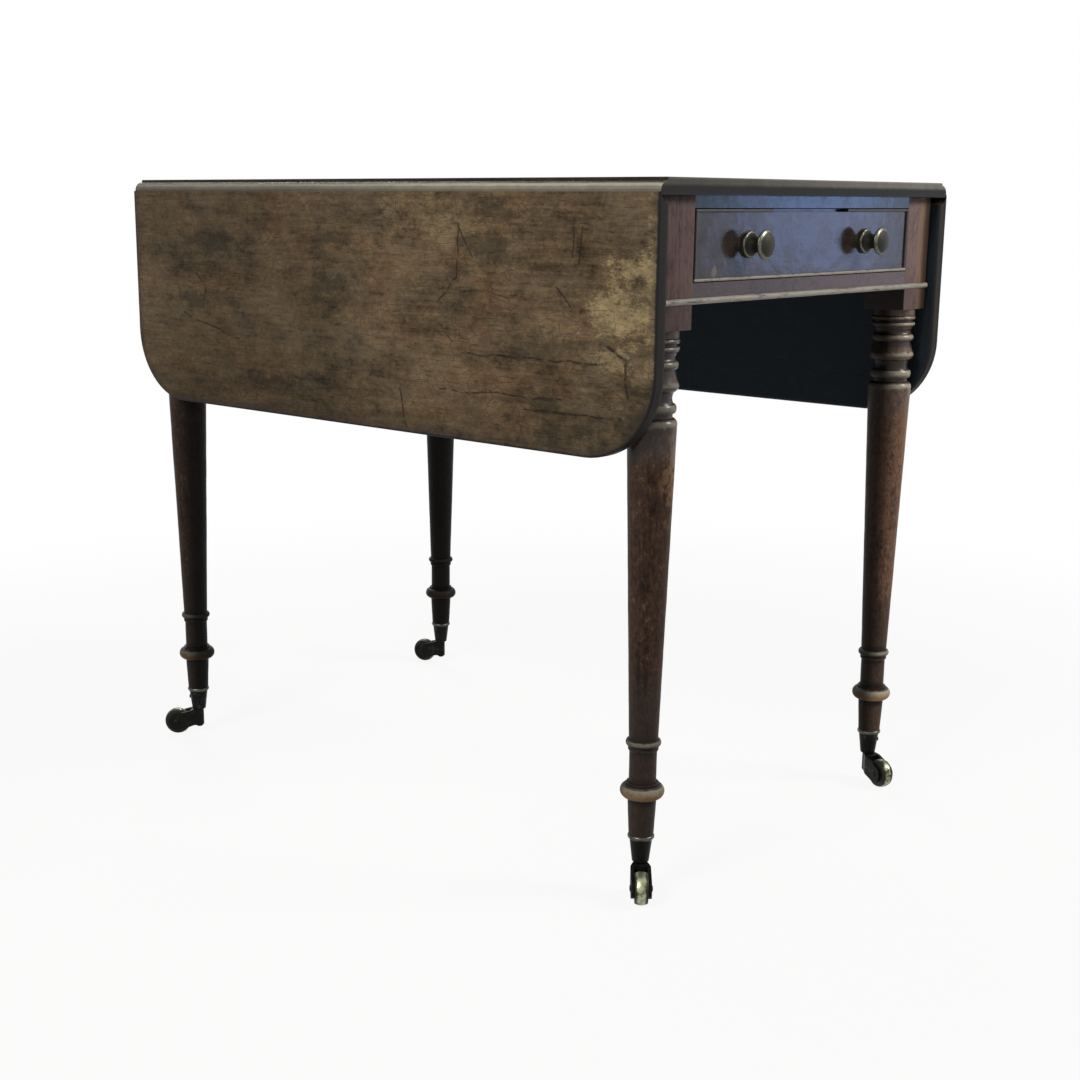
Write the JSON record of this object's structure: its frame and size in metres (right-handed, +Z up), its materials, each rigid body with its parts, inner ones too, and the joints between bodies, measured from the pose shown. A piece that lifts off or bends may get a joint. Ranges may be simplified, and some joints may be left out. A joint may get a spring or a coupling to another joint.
{
  "type": "pembroke table",
  "caption": "Drop-leaf side table with hinged leaves on rule joints, swinging fly brackets, a frieze drawer and turned legs on swivelling brass casters.",
  "frame": {"origin": "on the floor under the middle of the table", "axes": "+Z up, +Y along the hinge lines away from the drawer, +X across the table"},
  "size_m": [0.548, 0.8392, 0.72],
  "materials": {
    "faded_mahogany": "worn, faded wax polish",
    "dark_mahogany": "worn polish",
    "polished_mahogany": "glossy polish",
    "pale_bead": "rubbed bare",
    "inner_pine": "bare and darkened with age",
    "inner_beech": "bare and darkened with age",
    "drawer_oak": "bare",
    "aged_brass": "dark patina",
    "worn_brass": "rubbed bright on the tread",
    "old_iron": "blackened"
  },
  "bodies": {
    "table_frame": {"back_left_caster_cup": "aged_brass", "back_left_leg": "dark_mahogany", "back_rail": "dark_mahogany", "back_right_caster_cup": "aged_brass", "back_right_leg": "dark_mahogany", "bracket_pins": "old_iron", "caster_cup_screws": "aged_brass", "caster_swivel_pins": "aged_brass", "drawer_bottom_rail": "dark_mahogany", "drawer_kickers": "inner_pine", "drawer_runners": "inner_pine", "drawer_stops": "inner_pine", "drawer_top_rail": "dark_mahogany", "dummy_drawer_cockbead": "pale_bead", "dummy_drawer_knobs": "aged_brass", "frieze_beads": "pale_bead", "front_left_caster_cup": "aged_brass", "front_left_leg": "dark_mahogany", "front_right_caster_cup": "aged_brass", "front_right_leg": "dark_mahogany", "glue_blocks": "inner_pine", "hinge_pins": "old_iron", "left_fly_rail": "inner_beech", "left_inner_rail": "inner_pine", "right_fly_rail": "inner_beech", "right_inner_rail": "inner_pine", "top_board": "faded_mahogany", "top_hinge_plates": "old_iron", "top_hinge_screws": "old_iron", "top_screws": "old_iron"},
    "left_leaf": {"left_leaf": "faded_mahogany", "left_leaf_hinge_plates": "old_iron", "left_leaf_hinge_screws": "old_iron"},
    "right_leaf": {"right_leaf": "faded_mahogany", "right_leaf_hinge_plates": "old_iron", "right_leaf_hinge_screws": "old_iron"},
    "drawer": {"drawer_front": "polished_mahogany", "drawer_left_side": "drawer_oak", "drawer_right_side": "drawer_oak", "drawer_back": "drawer_oak", "drawer_bottom": "drawer_oak", "drawer_cockbead": "pale_bead", "drawer_knobs": "aged_brass", "knob_nuts": "old_iron"},
    "front_left_bracket": {"front_left_fly_bracket": "inner_beech"},
    "front_right_bracket": {"front_right_fly_bracket": "inner_beech"},
    "back_left_bracket": {"back_left_fly_bracket": "inner_beech"},
    "back_right_bracket": {"back_right_fly_bracket": "inner_beech"},
    "front_left_caster": {"front_left_caster_horn": "aged_brass", "front_left_caster_axle": "aged_brass"},
    "front_left_wheel": {"front_left_caster_wheel": "worn_brass"},
    "front_right_caster": {"front_right_caster_horn": "aged_brass", "front_right_caster_axle": "aged_brass"},
    "front_right_wheel": {"front_right_caster_wheel": "worn_brass"},
    "back_left_caster": {"back_left_caster_horn": "aged_brass", "back_left_caster_axle": "aged_brass"},
    "back_left_wheel": {"back_left_caster_wheel": "worn_brass"},
    "back_right_caster": {"back_right_caster_horn": "aged_brass", "back_right_caster_axle": "aged_brass"},
    "back_right_wheel": {"back_right_caster_wheel": "worn_brass"}
  },
  "joints": [
    {"name": "left_leaf_hinge", "type": "hinge", "parent": "table_frame", "child": "left_leaf", "pos_m": [-0.261, 0, 0.707], "axis": [0, 1, 0], "range_deg": [0, 90]},
    {"name": "right_leaf_hinge", "type": "hinge", "parent": "table_frame", "child": "right_leaf", "pos_m": [0.261, 0, 0.707], "axis": [0, -1, 0], "range_deg": [0, 90]},
    {"name": "front_left_bracket_swing", "type": "hinge", "parent": "table_frame", "child": "front_left_bracket", "pos_m": [-0.232, -0.188, 0.65], "axis": [0, 0, -1], "range_deg": [0, 90]},
    {"name": "front_right_bracket_swing", "type": "hinge", "parent": "table_frame", "child": "front_right_bracket", "pos_m": [0.232, -0.188, 0.65], "axis": [0, 0, 1], "range_deg": [0, 90]},
    {"name": "back_left_bracket_swing", "type": "hinge", "parent": "table_frame", "child": "back_left_bracket", "pos_m": [-0.232, 0.188, 0.65], "axis": [0, 0, 1], "range_deg": [0, 90]},
    {"name": "back_right_bracket_swing", "type": "hinge", "parent": "table_frame", "child": "back_right_bracket", "pos_m": [0.232, 0.188, 0.65], "axis": [0, 0, -1], "range_deg": [0, 90]},
    {"name": "drawer_slide", "type": "slide", "parent": "table_frame", "child": "drawer", "axis": [0, -1, 0], "range_m": [0, 0.4]},
    {"name": "front_left_caster_swivel", "type": "hinge", "parent": "table_frame", "child": "front_left_caster", "pos_m": [-0.23, -0.37, 0.025], "axis": [0, 0, 1], "continuous": true},
    {"name": "front_left_wheel_spin", "type": "hinge", "parent": "front_left_caster", "child": "front_left_wheel", "pos_m": [-0.25212, -0.38876, 0.017], "axis": [0.6468, -0.7627, 0], "continuous": true},
    {"name": "front_right_caster_swivel", "type": "hinge", "parent": "table_frame", "child": "front_right_caster", "pos_m": [0.23, -0.37, 0.025], "axis": [0, 0, 1], "continuous": true},
    {"name": "front_right_wheel_spin", "type": "hinge", "parent": "front_right_caster", "child": "front_right_wheel", "pos_m": [0.21738, -0.39611, 0.017], "axis": [0.9003, -0.4352, 0], "continuous": true},
    {"name": "back_left_caster_swivel", "type": "hinge", "parent": "table_frame", "child": "back_left_caster", "pos_m": [-0.23, 0.37, 0.025], "axis": [0, 0, 1], "continuous": true},
    {"name": "back_left_wheel_spin", "type": "hinge", "parent": "back_left_caster", "child": "back_left_wheel", "pos_m": [-0.24841, 0.39241, 0.017], "axis": [-0.7727, -0.6347, 0], "continuous": true},
    {"name": "back_right_caster_swivel", "type": "hinge", "parent": "table_frame", "child": "back_right_caster", "pos_m": [0.23, 0.37, 0.025], "axis": [0, 0, 1], "continuous": true},
    {"name": "back_right_wheel_spin", "type": "hinge", "parent": "back_right_caster", "child": "back_right_wheel", "pos_m": [0.22357, 0.39828, 0.017], "axis": [-0.9751, -0.2215, 0], "continuous": true}
  ],
  "couplings": [
    {"joint": "front_left_bracket_swing", "follows": "left_leaf_hinge", "ratio": 0.2},
    {"joint": "front_right_bracket_swing", "follows": "right_leaf_hinge", "ratio": 0.2},
    {"joint": "back_left_bracket_swing", "follows": "left_leaf_hinge", "ratio": 0.2},
    {"joint": "back_right_bracket_swing", "follows": "right_leaf_hinge", "ratio": 0.2}
  ]
}
